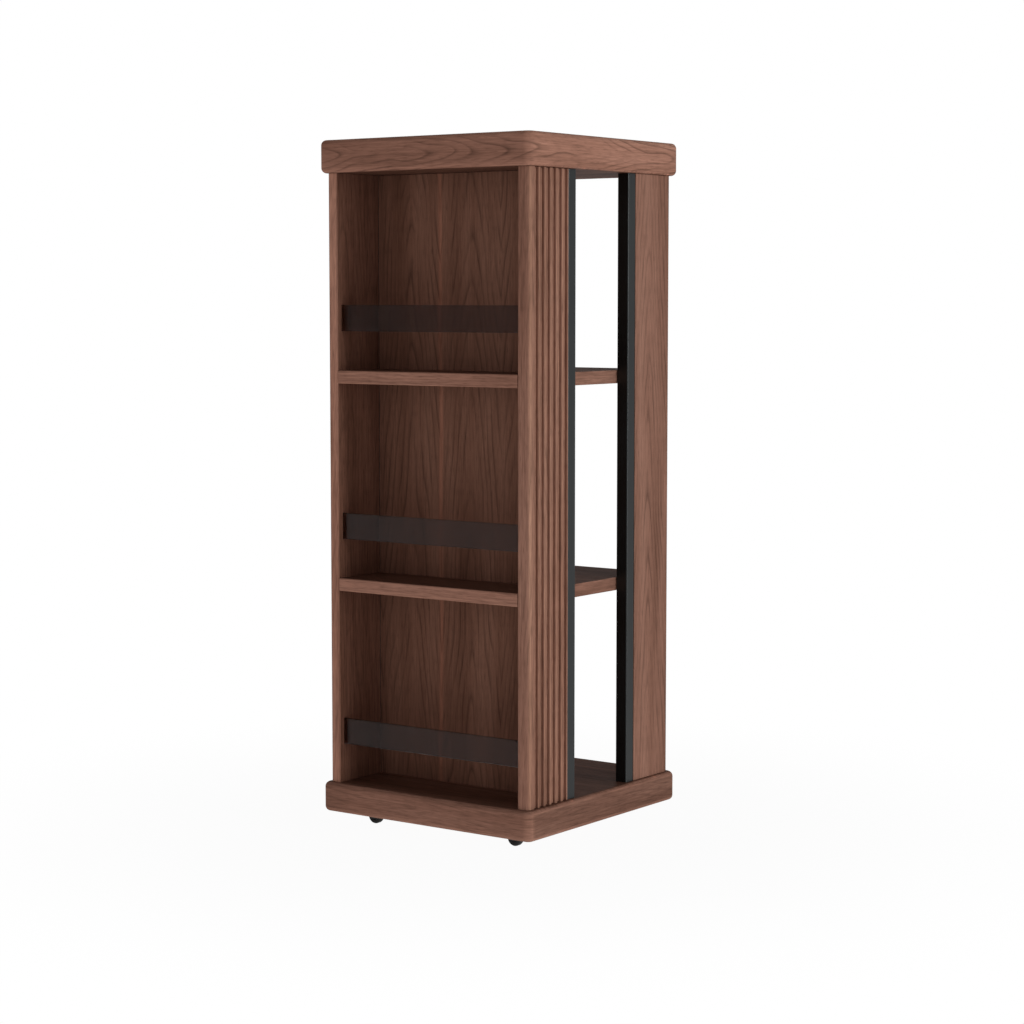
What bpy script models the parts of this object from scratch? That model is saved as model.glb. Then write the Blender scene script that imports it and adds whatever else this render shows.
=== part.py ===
"""Mobile bookcase: a walnut tower on four swivel casters that hide under its base.

Shallow compartments behind smoked guard strips face the front. Behind the divider the
shelves stand open to the rear and, between black posts, to both sides.
Metres, +Z up. The front faces -Y, the floor is Z = 0 and the origin lies under the middle.
"""

import math

import bmesh
import bpy
from mathutils import Matrix, Vector

# Fits
JOINT_GAP = 0.0003
RUNNING_CLEARANCE = 0.0005

# Top and base slabs
SLAB_WIDTH = 0.400
SLAB_DEPTH = 0.400
TOP_THICKNESS = 0.050
BASE_THICKNESS = 0.046
SLAB_CORNER_RADIUS = 0.015
SLAB_EDGE_RADIUS = 0.008
SLAB_OVERHANG = 0.010
SKIRT_WIDTH = 0.020
RECESS_DEPTH = 0.010
RECESS_CORNER_RADIUS = 0.006

# Compartments and shelves
COMPARTMENTS = 3
COMPARTMENT_HEIGHT = 0.300
SHELF_THICKNESS = 0.020
SHELF_EDGE_RADIUS = 0.002
REAR_SHELF_SETBACK = 0.020
DIVIDER_THICKNESS = 0.018

# Side panels and posts
PANEL_THICKNESS = 0.020
PANEL_OUTER_RADIUS = 0.008
PANEL_INNER_RADIUS = 0.002
WINDOW_WIDTH = 0.140
POST_DEPTH = 0.020
POST_WALL = 0.0015
POST_CORNER_RADIUS = 0.002

# Reeds on the front side panels
FRONT_LAND = 0.016
HEEL_LAND = 0.002
REED_PITCH = 0.01475
REED_WIDTH = 0.0065
REED_HEIGHT = 0.005
REED_ROUND = 0.0025
GROOVE_ROUND = 0.0012

# Guard strips, housed in the front side panels
GUARD_HEIGHT = 0.040
GUARD_LIFT = 0.060
GUARD_THICKNESS = 0.005
GUARD_SETBACK = 0.010
GUARD_HOUSING = 0.004
GUARD_EDGE_RADIUS = 0.0005

# Casters
CASTER_INSET = 0.065
TRAIL = 0.008
WHEEL_DIAMETER = 0.025
WHEEL_WIDTH = 0.011
TYRE_THICKNESS = 0.0042
TREAD_ROUND = 0.003
HUB_BOSS_DIAMETER = 0.0085
HUB_RIM_THICKNESS = 0.0014
HUB_WEB_THICKNESS = 0.004
AXLE_DIAMETER = 0.004
AXLE_HEAD_DIAMETER = 0.007
AXLE_HEAD_THICKNESS = 0.0012
FORK_SHEET = 0.0015
FORK_SIDE_CLEARANCE = 0.0008
FORK_BOSS_RADIUS = 0.0045
FORK_APRON = 0.003
FORK_CORNER_RADIUS = 0.0008
KINGPIN_DIAMETER = 0.005
KINGPIN_HEAD_DIAMETER = 0.0075
KINGPIN_HEAD_THICKNESS = 0.001
RACE_DIAMETER = 0.015
RACE_HEIGHT = 0.003
RACE_CHAMFER = 0.0008
PLATE_LENGTH = 0.038
PLATE_WIDTH = 0.032
PLATE_THICKNESS = 0.0018
PLATE_CORNER_RADIUS = 0.004
SCREW_SPACING_X = 0.029
SCREW_SPACING_Y = 0.023
SCREW_HOLE_DIAMETER = 0.0036

# Fineness of the round stretches
CORNER_SEGMENTS = 6
EDGE_SEGMENTS = 4
SMALL_ARC_SEGMENTS = 3
WHEEL_SEGMENTS = 28
HUB_SEGMENTS = 20
PIN_SEGMENTS = 16
FILLET_LIMIT = 0.48
SHARP_ANGLE = math.radians(35)

# Heights, stacked up from the floor
WHEEL_RADIUS = WHEEL_DIAMETER / 2
CROWN_BOTTOM = WHEEL_DIAMETER + RUNNING_CLEARANCE + KINGPIN_HEAD_THICKNESS + JOINT_GAP
CROWN_TOP = CROWN_BOTTOM + FORK_SHEET
RACE_BOTTOM = CROWN_TOP + JOINT_GAP
RACE_TOP = RACE_BOTTOM + RACE_HEIGHT
PLATE_BOTTOM = RACE_TOP + JOINT_GAP
PLATE_TOP = PLATE_BOTTOM + PLATE_THICKNESS
RECESS_ROOF = PLATE_TOP + JOINT_GAP
BASE_BOTTOM = RECESS_ROOF - RECESS_DEPTH
BASE_TOP = BASE_BOTTOM + BASE_THICKNESS
STOREY = COMPARTMENT_HEIGHT + SHELF_THICKNESS
CASE_TOP = BASE_TOP + COMPARTMENTS * STOREY - SHELF_THICKNESS
TOP_OF_SLAB = CASE_TOP + TOP_THICKNESS

# Plan of the case
CASE_X = SLAB_WIDTH / 2 - SLAB_OVERHANG
CASE_Y = SLAB_DEPTH / 2 - SLAB_OVERHANG
INNER_X = CASE_X - PANEL_THICKNESS
WINDOW_Y = WINDOW_WIDTH / 2
POST_Y = WINDOW_Y + POST_DEPTH
DIVIDER_FRONT = -POST_Y
DIVIDER_BACK = DIVIDER_FRONT + DIVIDER_THICKNESS
CASTER_X = SLAB_WIDTH / 2 - CASTER_INSET
CASTER_Y = SLAB_DEPTH / 2 - CASTER_INSET

SIDES = {"left": -1, "right": 1}
ENDS = {"front": -1, "rear": 1}


def rounded_outline(corners, segments=SMALL_ARC_SEGMENTS):
    """Closed outline through (x, y, radius) corners; a fillet shrinks where its wall is short."""
    points = []
    for index, (x, y, radius) in enumerate(corners):
        here = Vector((x, y))
        back = Vector(corners[index - 1][:2]) - here
        ahead = Vector(corners[(index + 1) % len(corners)][:2]) - here
        if radius <= 0:
            points.append(here)
            continue
        half = back.angle(ahead) / 2
        reach = min(radius / math.tan(half), FILLET_LIMIT * back.length, FILLET_LIMIT * ahead.length)
        bisector = (back.normalized() + ahead.normalized()).normalized()
        centre = here + bisector * reach / math.cos(half)
        start = here + back.normalized() * reach - centre
        turn = math.copysign(math.pi - 2 * half, -back.cross(ahead))
        for step in range(segments + 1):
            points.append(centre + Matrix.Rotation(turn * step / segments, 2) @ start)
    return points


def rectangle(x0, x1, y0, y1, radius=0.0):
    return [(x0, y0, radius), (x1, y0, radius), (x1, y1, radius), (x0, y1, radius)]


# Where an outline's two axes and the extrusion go for each direction of a prism
PRISM_AXES = {
    "X": Matrix(((0, 0, 1, 0), (1, 0, 0, 0), (0, 1, 0, 0), (0, 0, 0, 1))),
    "Y": Matrix(((1, 0, 0, 0), (0, 0, 1, 0), (0, 1, 0, 0), (0, 0, 0, 1))),
    "Z": Matrix.Identity(4),
}


def raise_faces(bm, faces, low, high):
    """Extrude faces that lie at height low up to height high."""
    grown = bmesh.ops.extrude_face_region(bm, geom=faces)["geom"]
    lifted = [part for part in grown if isinstance(part, bmesh.types.BMVert)]
    bmesh.ops.translate(bm, verts=lifted, vec=(0, 0, high - low))


def prism(outline, low, high, along="Z"):
    """Extrude an outline from low to high; X takes (y, z) outlines and Y takes (x, z)."""
    bm = bmesh.new()
    face = bm.faces.new([bm.verts.new((a, b, low)) for a, b in outline])
    raise_faces(bm, [face], low, high)
    bm.transform(PRISM_AXES[along])
    return bm


def tube(outer, inner, low, high):
    """Upright prism with a bore; both outlines have as many points."""
    bm = bmesh.new()
    edges = []
    for outline in (outer, inner):
        verts = [bm.verts.new((x, y, low)) for x, y in outline]
        edges += [bm.edges.new((verts[i - 1], verts[i])) for i in range(len(verts))]
    ring = bmesh.ops.bridge_loops(bm, edges=edges)["faces"]
    raise_faces(bm, ring, low, high)
    return bm


def turned(profile, segments, closed=False, along="Z"):
    """Spin a (radius, height) profile; flats touch the true circle and one of them faces down."""
    swell = 1 / math.cos(math.pi / segments)
    first = Matrix.Rotation(math.pi / segments, 3, "Z")
    bm = bmesh.new()
    verts = [bm.verts.new(first @ Vector((radius * swell, 0, height))) for radius, height in profile]
    edges = [bm.edges.new(pair) for pair in zip(verts, verts[1:])]
    if closed:
        edges.append(bm.edges.new((verts[-1], verts[0])))
    bmesh.ops.spin(
        bm, geom=verts + edges, cent=(0, 0, 0), axis=(0, 0, 1), angle=2 * math.pi, steps=segments
    )
    bmesh.ops.remove_doubles(bm, verts=bm.verts[:], dist=JOINT_GAP / 100)
    bm.transform(PRISM_AXES[along])
    return bm


def drill(diameter, low, high, along="Z", at=(0, 0, 0)):
    """Round cutter with its clearance, for a pin of the given diameter."""
    radius = diameter / 2 + JOINT_GAP
    bm = turned([(0, low), (radius, low), (radius, high), (0, high)], PIN_SEGMENTS, along=along)
    bmesh.ops.translate(bm, verts=bm.verts[:], vec=at)
    return bm


def to_mesh(name, bm):
    bmesh.ops.recalc_face_normals(bm, faces=bm.faces[:])
    if bm.calc_volume(signed=True) < 0:
        bmesh.ops.reverse_faces(bm, faces=bm.faces[:])
    mesh = bpy.data.meshes.new(name)
    bm.to_mesh(mesh)
    bm.free()
    return mesh


def add_object(name, data, parent=None, at=(0, 0, 0)):
    piece = bpy.data.objects.new(name, data)
    bpy.context.collection.objects.link(piece)
    piece.parent = parent
    piece.location = at
    return piece


def carved(name, bm, cutters):
    """Mesh of a solid with the cutters taken out of it."""
    block = add_object(name, to_mesh(name, bm))
    tools = [add_object(name + "_cutter", to_mesh(name + "_cutter", cutter)) for cutter in cutters]
    for tool in tools:
        cut = block.modifiers.new("cut", "BOOLEAN")
        cut.operation = "DIFFERENCE"
        cut.object = tool
    graph = bpy.context.evaluated_depsgraph_get()
    mesh = bpy.data.meshes.new_from_object(block.evaluated_get(graph), depsgraph=graph)
    for helper in [block] + tools:
        bpy.data.objects.remove(helper)
    return mesh


def finish(mesh, material):
    """Give a mesh its finish, smooth on its round stretches."""
    mesh.materials.clear()
    mesh.materials.append(material)
    mesh.shade_smooth()
    mesh.set_sharp_from_angle(angle=SHARP_ANGLE)
    return mesh


def make_finish(name, colour, roughness, metallic=0.0, alpha=1.0):
    material = bpy.data.materials.new(name)
    material.use_nodes = True
    shader = material.node_tree.nodes["Principled BSDF"]
    shader.inputs["Base Color"].default_value = (*colour, 1.0)
    shader.inputs["Roughness"].default_value = roughness
    shader.inputs["Metallic"].default_value = metallic
    shader.inputs["Alpha"].default_value = alpha
    return material


def rounded_slab(low, high):
    """Slab over the whole plan, its upright corners and then its rims rounded."""
    plan = rectangle(-SLAB_WIDTH / 2, SLAB_WIDTH / 2, -SLAB_DEPTH / 2, SLAB_DEPTH / 2, SLAB_CORNER_RADIUS)
    bm = prism(rounded_outline(plan, CORNER_SEGMENTS), low, high)
    rims = [edge for edge in bm.edges if edge.verts[0].co.z == edge.verts[1].co.z]
    bmesh.ops.bevel(
        bm, geom=rims, offset=SLAB_EDGE_RADIUS, offset_type="OFFSET", affect="EDGES",
        segments=EDGE_SEGMENTS, profile=0.5,
    )
    return bm


def add_slabs(case, walnut):
    top = to_mesh("top_slab", rounded_slab(CASE_TOP, TOP_OF_SLAB))
    add_object("top_slab", finish(top, walnut), case)
    recess_x = SLAB_WIDTH / 2 - SKIRT_WIDTH
    recess_y = SLAB_DEPTH / 2 - SKIRT_WIDTH
    plan = rectangle(-recess_x, recess_x, -recess_y, recess_y, RECESS_CORNER_RADIUS)
    recess = prism(rounded_outline(plan), BASE_BOTTOM - RECESS_DEPTH, RECESS_ROOF)
    base = carved("base_slab", rounded_slab(BASE_BOTTOM, BASE_TOP), [recess])
    add_object("base_slab", finish(base, walnut), case)


def reeded_corners():
    """Plan of the right front panel: rounded nose, reeds outside up to the heel's land, flat inside."""
    floor = CASE_X - REED_HEIGHT
    heel = -POST_Y - JOINT_GAP
    land = heel - HEEL_LAND
    first = -CASE_Y + FRONT_LAND
    nose = [(INNER_X, -CASE_Y, PANEL_INNER_RADIUS), (CASE_X, -CASE_Y, PANEL_OUTER_RADIUS)]
    reeds = [(CASE_X, first, REED_ROUND), (floor, first, GROOVE_ROUND)]
    for number in range(1, int((land - first - 2 * GROOVE_ROUND) / REED_PITCH) + 1):
        back = first + number * REED_PITCH
        front = back - REED_WIDTH
        reeds += [(floor, front, GROOVE_ROUND), (CASE_X, front, REED_ROUND)]
        reeds += [(CASE_X, back, REED_ROUND), (floor, back, GROOVE_ROUND)]
    reeds += [(floor, land, GROOVE_ROUND), (CASE_X, land, REED_ROUND)]
    return nose + reeds + [(CASE_X, heel, 0.0), (INNER_X, heel, 0.0)]


def plain_corners():
    """Plan of the right rear panel: flat faces and a rounded rear edge."""
    toe = POST_Y + JOINT_GAP
    return [
        (INNER_X, toe, 0.0), (CASE_X, toe, 0.0),
        (CASE_X, CASE_Y, PANEL_OUTER_RADIUS), (INNER_X, CASE_Y, PANEL_INNER_RADIUS),
    ]


def floors():
    """Heights of the compartments' floors, lowest first."""
    return [BASE_TOP + number * STOREY for number in range(COMPARTMENTS)]


def guard_outline(floor, clearance):
    """Section of a guard strip above one floor, in (y, z)."""
    front = -CASE_Y + GUARD_SETBACK - clearance
    back = -CASE_Y + GUARD_SETBACK + GUARD_THICKNESS + clearance
    low = floor + GUARD_LIFT - clearance
    return rounded_outline(rectangle(front, back, low, low + GUARD_HEIGHT + 2 * clearance, GUARD_EDGE_RADIUS))


def add_side_panels(case, walnut):
    low = BASE_TOP + JOINT_GAP
    high = CASE_TOP - JOINT_GAP
    reach = INNER_X + GUARD_HOUSING
    for side, sign in SIDES.items():
        for end, corners in (("front", reeded_corners()), ("rear", plain_corners())):
            name = f"{end}_side_panel_{side}"
            outline = [(sign * x, y) for x, y in rounded_outline(corners, EDGE_SEGMENTS)]
            housings = [prism(guard_outline(floor, JOINT_GAP), -reach, reach, "X") for floor in floors()]
            cutters = housings if end == "front" else []
            add_object(name, finish(carved(name, prism(outline, low, high), cutters), walnut), case)


def add_posts(case, black):
    for side, sign in SIDES.items():
        for end, way in ENDS.items():
            name = f"post_{end}_{side}"
            outer = rectangle(INNER_X, CASE_X, WINDOW_Y, POST_Y, POST_CORNER_RADIUS)
            bore = [(INNER_X + POST_WALL, CASE_X - POST_WALL), (WINDOW_Y + POST_WALL, POST_Y - POST_WALL)]
            inner = rectangle(*bore[0], *bore[1], POST_CORNER_RADIUS - POST_WALL)
            loops = [[(sign * x, way * y) for x, y in rounded_outline(loop)] for loop in (outer, inner)]
            solid = tube(loops[0], loops[1], BASE_TOP + JOINT_GAP, CASE_TOP - JOINT_GAP)
            add_object(name, finish(to_mesh(name, solid), black), case)


def add_shelves(case, walnut):
    reach = INNER_X - JOINT_GAP
    plan = rounded_outline(rectangle(-reach, reach, DIVIDER_FRONT, DIVIDER_BACK))
    divider = prism(plan, BASE_TOP + JOINT_GAP, CASE_TOP - JOINT_GAP)
    add_object("divider_panel", finish(to_mesh("divider_panel", divider), walnut), case)
    spans = {
        "front": (-CASE_Y, DIVIDER_FRONT - JOINT_GAP),
        "rear": (CASE_Y - REAR_SHELF_SETBACK, DIVIDER_BACK + JOINT_GAP),
    }
    for number, floor in enumerate(floors()[1:], start=1):
        for end, (edge, joint) in spans.items():
            name = f"{end}_shelf_{number}"
            under = floor - SHELF_THICKNESS
            section = [
                (edge, under, SHELF_EDGE_RADIUS), (joint, under, 0.0),
                (joint, floor, 0.0), (edge, floor, SHELF_EDGE_RADIUS),
            ]
            board = prism(rounded_outline(section), -reach, reach, "X")
            add_object(name, finish(to_mesh(name, board), walnut), case)


def add_guards(case, smoke):
    reach = INNER_X + GUARD_HOUSING - JOINT_GAP
    for number, floor in enumerate(floors(), start=1):
        name = f"guard_strip_{number}"
        strip = prism(guard_outline(floor, 0.0), -reach, reach, "X")
        add_object(name, finish(to_mesh(name, strip), smoke), case)


def plate_mesh():
    half_x = PLATE_LENGTH / 2
    half_y = PLATE_WIDTH / 2
    plan = rectangle(-half_x, half_x, -half_y, half_y, PLATE_CORNER_RADIUS)
    blank = prism(rounded_outline(plan), PLATE_BOTTOM, PLATE_TOP)
    cutters = [drill(KINGPIN_DIAMETER, RACE_BOTTOM, RECESS_ROOF)]
    for x in (-SCREW_SPACING_X / 2, SCREW_SPACING_X / 2):
        for y in (-SCREW_SPACING_Y / 2, SCREW_SPACING_Y / 2):
            cutters.append(drill(SCREW_HOLE_DIAMETER, RACE_BOTTOM, RECESS_ROOF, at=(x, y, 0)))
    return carved("caster_plate", blank, cutters)


def race_mesh():
    bore = KINGPIN_DIAMETER / 2 + JOINT_GAP
    outer = RACE_DIAMETER / 2
    profile = [
        (bore, RACE_BOTTOM), (outer - RACE_CHAMFER, RACE_BOTTOM), (outer, RACE_BOTTOM + RACE_CHAMFER),
        (outer, RACE_TOP), (bore, RACE_TOP),
    ]
    return to_mesh("caster_race", turned(profile, HUB_SEGMENTS, closed=True))


def kingpin_mesh():
    shank = KINGPIN_DIAMETER / 2
    head = KINGPIN_HEAD_DIAMETER / 2
    head_top = CROWN_BOTTOM - JOINT_GAP
    head_bottom = head_top - KINGPIN_HEAD_THICKNESS
    profile = [
        (0, PLATE_TOP), (shank, PLATE_TOP), (shank, head_top),
        (head, head_top), (head, head_bottom), (0, head_bottom),
    ]
    return to_mesh("caster_kingpin", turned(profile, PIN_SEGMENTS))


def fork_mesh():
    """Bent-sheet fork: a side outline as wide as the fork, with the wheel slot cut through it."""
    slot = WHEEL_WIDTH / 2 + FORK_SIDE_CLEARANCE
    outside = slot + FORK_SHEET
    boss = FORK_BOSS_RADIUS
    front = RACE_DIAMETER / 2
    back = -TRAIL - boss
    shoulder = CROWN_BOTTOM - FORK_APRON
    side = [
        (front, CROWN_TOP, FORK_CORNER_RADIUS), (front, shoulder, FORK_CORNER_RADIUS),
        (-TRAIL + boss, WHEEL_RADIUS - boss, boss), (back, WHEEL_RADIUS - boss, boss),
        (back, CROWN_TOP, FORK_CORNER_RADIUS),
    ]
    blank = prism(rounded_outline(side, EDGE_SEGMENTS), -outside, outside, "Y")
    passage = rectangle(-slot, slot, 0.0, CROWN_BOTTOM)
    wheel_slot = prism(rounded_outline(passage), -TRAIL - WHEEL_DIAMETER, WHEEL_DIAMETER, "X")
    pin_hole = drill(KINGPIN_DIAMETER, WHEEL_RADIUS, RACE_TOP)
    axle_hole = drill(AXLE_DIAMETER, -WHEEL_WIDTH, WHEEL_WIDTH, "Y", (-TRAIL, 0, WHEEL_RADIUS))
    return carved("caster_fork", blank, [wheel_slot, pin_hole, axle_hole])


def axle_mesh():
    shank = AXLE_DIAMETER / 2
    head = AXLE_HEAD_DIAMETER / 2
    inside = WHEEL_WIDTH / 2 + FORK_SIDE_CLEARANCE + FORK_SHEET + JOINT_GAP
    outside = inside + AXLE_HEAD_THICKNESS
    profile = [
        (0, -outside), (head, -outside), (head, -inside), (shank, -inside),
        (shank, inside), (head, inside), (head, outside), (0, outside),
    ]
    return to_mesh("caster_axle", turned(profile, PIN_SEGMENTS, along="Y"))


def hub_mesh():
    """Wheel core: boss and rim as wide as the tyre, joined by a thin web."""
    bore = AXLE_DIAMETER / 2 + JOINT_GAP
    boss = HUB_BOSS_DIAMETER / 2
    rim = WHEEL_RADIUS - TYRE_THICKNESS - JOINT_GAP
    rim_inside = rim - HUB_RIM_THICKNESS
    wide = WHEEL_WIDTH / 2
    web = HUB_WEB_THICKNESS / 2
    upper = [(bore, wide), (boss, wide), (boss, web), (rim_inside, web), (rim_inside, wide), (rim, wide)]
    lower = [(radius, -height) for radius, height in reversed(upper)]
    return to_mesh("caster_hub", turned(upper + lower, HUB_SEGMENTS, closed=True, along="Y"))


def tyre_mesh():
    inner = WHEEL_RADIUS - TYRE_THICKNESS
    wide = WHEEL_WIDTH / 2
    section = [
        (inner, -wide, 0.0), (WHEEL_RADIUS, -wide, TREAD_ROUND),
        (WHEEL_RADIUS, wide, TREAD_ROUND), (inner, wide, 0.0),
    ]
    return to_mesh("caster_tyre", turned(rounded_outline(section), WHEEL_SEGMENTS, closed=True, along="Y"))


def add_casters(case, finishes):
    fixed = {"plate": plate_mesh(), "race": race_mesh(), "kingpin": kingpin_mesh()}
    swivelling = {"fork": fork_mesh()}
    spinning = {"hub": hub_mesh(), "tyre": tyre_mesh()}
    axle = axle_mesh()
    for part, mesh in {**fixed, **swivelling, **spinning, "axle": axle}.items():
        finish(mesh, finishes[part])
    for end, way in ENDS.items():
        for side, sign in SIDES.items():
            caster = f"caster_{end}_{side}"
            place = (sign * CASTER_X, way * CASTER_Y, 0)
            for part, mesh in fixed.items():
                add_object(f"{caster}_{part}", mesh, case, place)
            swivel = add_object(f"{caster}_swivel_axis", None, case, place)
            for part, mesh in swivelling.items():
                add_object(f"{caster}_{part}", mesh, swivel)
            spin = add_object(f"{caster}_wheel_axis", None, swivel, (-TRAIL, 0, WHEEL_RADIUS))
            add_object(f"{caster}_axle", axle, swivel, (-TRAIL, 0, WHEEL_RADIUS))
            for part, mesh in spinning.items():
                add_object(f"{caster}_{part}", mesh, spin)


def build_bookcase():
    for old in list(bpy.data.objects):
        bpy.data.objects.remove(old)
    walnut = make_finish("walnut_veneer", (0.205, 0.102, 0.068), 0.45)
    black = make_finish("black_posts", (0.018, 0.021, 0.022), 0.40)
    smoke = make_finish("smoked_acrylic", (0.020, 0.016, 0.015), 0.08, alpha=0.6)
    steel = make_finish("black_steel", (0.020, 0.020, 0.021), 0.45)
    zinc = make_finish("zinc_plate", (0.55, 0.56, 0.57), 0.35, metallic=1.0)
    nylon = make_finish("black_nylon", (0.022, 0.022, 0.023), 0.50)
    rubber = make_finish("black_rubber", (0.012, 0.012, 0.012), 0.75)
    case = add_object("bookcase", None)
    add_slabs(case, walnut)
    add_side_panels(case, walnut)
    add_posts(case, black)
    add_shelves(case, walnut)
    add_guards(case, smoke)
    caster_finishes = {
        "plate": steel, "race": steel, "kingpin": zinc, "fork": steel,
        "axle": steel, "hub": nylon, "tyre": rubber,
    }
    add_casters(case, caster_finishes)
    bpy.context.view_layer.update()
    pieces = [piece for piece in bpy.data.objects if piece.type == "MESH"]
    print(f"bookcase: {len(pieces)} pieces, {TOP_OF_SLAB:.3f} m tall")


build_bookcase()
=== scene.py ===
# %% [markdown]
# # A mobile bookcase in walnut veneer
# This bookcase is a tall square case on four swivel casters. Two thick slabs close it above and below,
# and between them stand reeded side panels, black posts and three storeys of shelves. The frame that is
# loaded first holds every piece at its real size and place. This lesson gives the pieces their finish:
# smooth rounded boards, a veneer whose grain runs the right way on each board, satin metal and smoked
# acrylic. A new board takes its size from the frame's own piece, so nothing has to be fitted by eye.

# %% Load the frame
from math import pi, radians

import bmesh
import bpy
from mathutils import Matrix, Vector


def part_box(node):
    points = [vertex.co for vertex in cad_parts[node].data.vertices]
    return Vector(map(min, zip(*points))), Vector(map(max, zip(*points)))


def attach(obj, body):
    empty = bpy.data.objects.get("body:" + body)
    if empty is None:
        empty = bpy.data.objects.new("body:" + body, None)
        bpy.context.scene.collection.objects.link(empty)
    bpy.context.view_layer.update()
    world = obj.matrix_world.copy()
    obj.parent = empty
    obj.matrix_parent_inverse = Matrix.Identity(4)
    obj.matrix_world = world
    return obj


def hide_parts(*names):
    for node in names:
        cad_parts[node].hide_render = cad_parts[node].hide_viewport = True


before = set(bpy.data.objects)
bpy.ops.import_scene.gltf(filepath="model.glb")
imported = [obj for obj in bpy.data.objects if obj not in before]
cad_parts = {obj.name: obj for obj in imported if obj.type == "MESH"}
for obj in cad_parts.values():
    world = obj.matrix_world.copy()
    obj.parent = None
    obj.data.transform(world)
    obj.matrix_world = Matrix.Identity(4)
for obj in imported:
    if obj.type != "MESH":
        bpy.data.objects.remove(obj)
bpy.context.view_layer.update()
scene = bpy.context.scene
scene.view_settings.view_transform = "Standard"

# %% [markdown]
# ## Camera
# A product picture of furniture is taken from well back with a long lens, so that upright edges stay
# upright. The camera stands to the right of the front corner at about the height of a seated eye and
# looks very slightly down. It could be aimed with a constraint at an empty, but three plain values, a
# place, a turn and a tilt, say the same thing and are easier to read.

# %% Set up the camera
CAMERA_PLACE = (2.2446, -3.0548, 0.8228)
CAMERA_TURN = radians(36.042)
CAMERA_TILT = radians(-5.054)
LENS_MM = 85.66
SENSOR_MM = 36

bpy.ops.object.select_all(action="DESELECT")
bpy.ops.object.camera_add(location=CAMERA_PLACE, rotation=(pi / 2 + CAMERA_TILT, 0, CAMERA_TURN))
camera = bpy.context.object
camera.name = "photo_camera"
camera.data.sensor_width = SENSOR_MM
camera.data.lens = LENS_MM
scene.camera = camera
print(f"camera: {LENS_MM} mm lens, {Vector(CAMERA_PLACE).xy.length:.2f} m from the bookcase")

# %% [markdown]
# ## Node helpers
# A material is a small network: textures on the left, the shader on the right. Building it by hand means
# adding nodes and drawing links, so these helpers do just that. `start_finish` makes a material and sets
# what is the same all over it on the shader's own sockets. `add_node` adds one node and fills its inputs: a
# socket is linked, and anything else is set as a value. `arithmetic` and `eased` are two kinds of node that
# come up often.

# %% Define the node helpers
def start_finish(name, **values):
    """A new material and its shader, with fixed values set on the shader's sockets."""
    material = bpy.data.materials.new(name)
    material.use_nodes = True
    shader = material.node_tree.nodes["Principled BSDF"]
    for socket, value in values.items():
        shader.inputs[socket.replace("_", " ")].default_value = value
    return material, shader


def add_node(tree, kind, inputs=(), **settings):
    """One node of a tree, with its settings, and its inputs linked or set."""
    node = tree.nodes.new(kind)
    for setting, value in settings.items():
        setattr(node, setting, value)
    for socket, value in dict(inputs).items():
        if isinstance(value, bpy.types.NodeSocket):
            tree.links.new(value, node.inputs[socket])
        else:
            node.inputs[socket].default_value = value
    return node


def arithmetic(tree, operation, *values):
    """The result of one sum on numbers or sockets."""
    return add_node(tree, "ShaderNodeMath", dict(enumerate(values)), operation=operation).outputs[0]


def eased(tree, value, start, end, before, after):
    """A number that goes from one level to another while the value goes from start to end."""
    limits = {"Value": value, "From Min": start, "From Max": end, "To Min": before, "To Max": after}
    return add_node(tree, "ShaderNodeMapRange", limits, interpolation_type="SMOOTHSTEP").outputs[0]


print("helpers: start_finish, add_node, arithmetic, eased")

# %% [markdown]
# ## Studio: backdrop, floor and light
# The bookcase stands on a white floor before a white backdrop, in a studio that is dim on the camera's
# side. A backdrop could be a big curved sheet, but a sheet bright enough to look white would flood the case
# with light. So the world is white where the camera looks at it. Its reflection in metal and plastic is
# brighter behind the case than in front, and its light on the case is a soft grey that is strongest low
# down and to the left. The floor throws much of its white back up, so the ceiling of a compartment is
# lighter than its foot. One lamp on the right makes the right side the bright one.

# %% Light the studio
AMBIENT = 0.80
OVERHEAD = 0.25
DIM_RIGHT = 0.60
MIRRORED = 0.45
DIM_FRONT = 0.30
LOW_TO_HIGH = (0.0, 0.7)
LEFT_TO_RIGHT = (-0.3, 0.6)
FRONT_TO_REAR = (-0.5, 0.4)

world = bpy.data.worlds.new("white_studio")
world.use_nodes = True
scene.world = world
tree = world.node_tree
tree.nodes.clear()
direction = add_node(tree, "ShaderNodeTexCoord").outputs["Generated"]
rightward, rearward, upward = add_node(tree, "ShaderNodeSeparateXYZ", {0: direction}).outputs
by_height = eased(tree, upward, *LOW_TO_HIGH, AMBIENT, AMBIENT * OVERHEAD)
by_side = eased(tree, rightward, *LEFT_TO_RIGHT, 1.0, DIM_RIGHT)
around = arithmetic(tree, "MULTIPLY", by_height, by_side)
mirror_image = eased(tree, rearward, *FRONT_TO_REAR, MIRRORED * DIM_FRONT, MIRRORED)
path = add_node(tree, "ShaderNodeLightPath")
glossy = path.outputs["Is Glossy Ray"]
lit = add_node(tree, "ShaderNodeMix", {0: glossy, 2: around, 3: mirror_image}).outputs[0]
seen = arithmetic(tree, "MAXIMUM", path.outputs["Is Camera Ray"], path.outputs["Is Transmission Ray"])
shown = add_node(tree, "ShaderNodeMix", {0: seen, 2: lit, 3: 1.0}).outputs[0]
backdrop = add_node(tree, "ShaderNodeBackground", {"Color": (1, 1, 1, 1), "Strength": shown})
add_node(tree, "ShaderNodeOutputWorld", {"Surface": backdrop.outputs[0]})
print(f"world: ambient {AMBIENT} low down, {AMBIENT * OVERHEAD:.2f} overhead")

# %% Hang the key lamp
KEY_LEVEL = 1.65
KEY_COLOUR = (0.93, 0.99, 1.0)
KEY_WIDTH = radians(20)
KEY_TOWARDS = Vector((0.98, 0.06, 0.16))
KEY_DISTANCE = 3.0

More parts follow.
